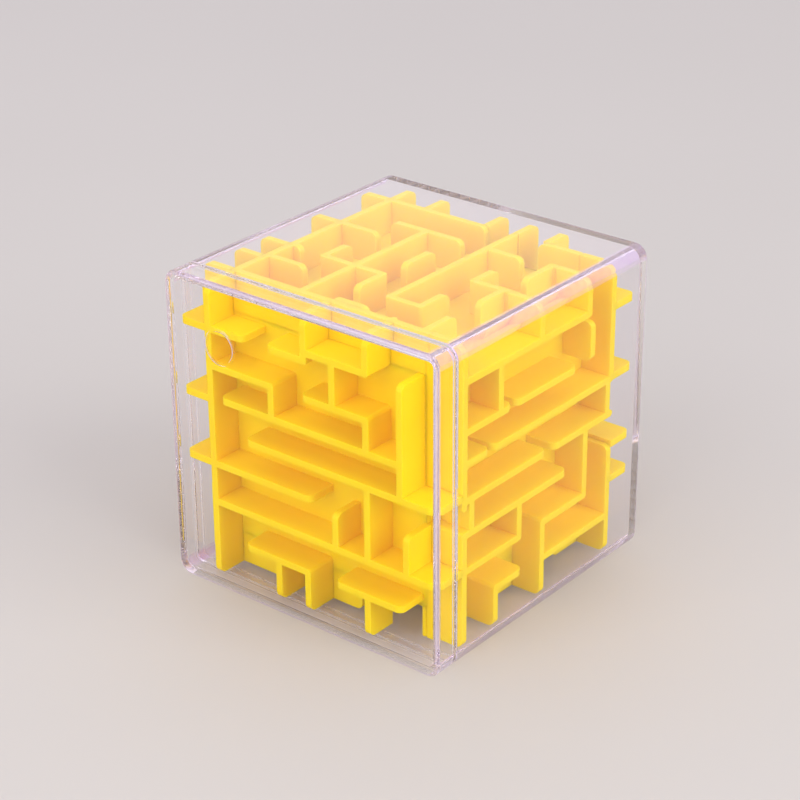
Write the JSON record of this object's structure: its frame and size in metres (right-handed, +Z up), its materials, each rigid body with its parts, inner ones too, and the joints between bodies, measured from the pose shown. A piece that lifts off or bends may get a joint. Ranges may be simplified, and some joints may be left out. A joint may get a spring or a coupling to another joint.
{
  "type": "3d maze ball puzzle",
  "caption": "Clear cube case around a yellow six-sided ribbed maze; a small steel ball rolls through the corridors when the cube is tilted.",
  "frame": {"origin": "centre of the case's flat bottom face", "axes": "+Z up, +Y towards the closed back of the case, -Y towards the front tray lid, +X to the right seen from the lid"},
  "size_m": [0.055, 0.055, 0.055],
  "materials": {
    "clear_plastic": "clear, polished",
    "yellow_plastic": "satin moulded plastic",
    "steel": "polished"
  },
  "bodies": {
    "case": {"case_box": "clear_plastic"},
    "lid": {"case_lid": "clear_plastic"},
    "maze": {"maze_panel_front": "yellow_plastic", "maze_panel_back": "yellow_plastic", "maze_panel_left": "yellow_plastic", "maze_panel_right": "yellow_plastic", "maze_panel_top": "yellow_plastic", "maze_panel_bottom": "yellow_plastic"},
    "ball": {"steel_ball": "steel"}
  },
  "joints": [
    {"name": "lid_off", "type": "slide", "parent": "case", "child": "lid", "axis": [0, -1, 0], "range_m": [0, 0.14]},
    {"name": "maze_out", "type": "slide", "parent": "case", "child": "maze", "axis": [0, -1, 0], "range_m": [0, 0.063]},
    {"name": "ball_roll", "type": "slide", "parent": "maze", "child": "ball", "axis": [0, 1, 0], "range_m": [-0.007, 0.0192]}
  ],
  "couplings": [
    {"joint": "maze_out", "follows": "lid_off", "ratio": 0.45}
  ]
}
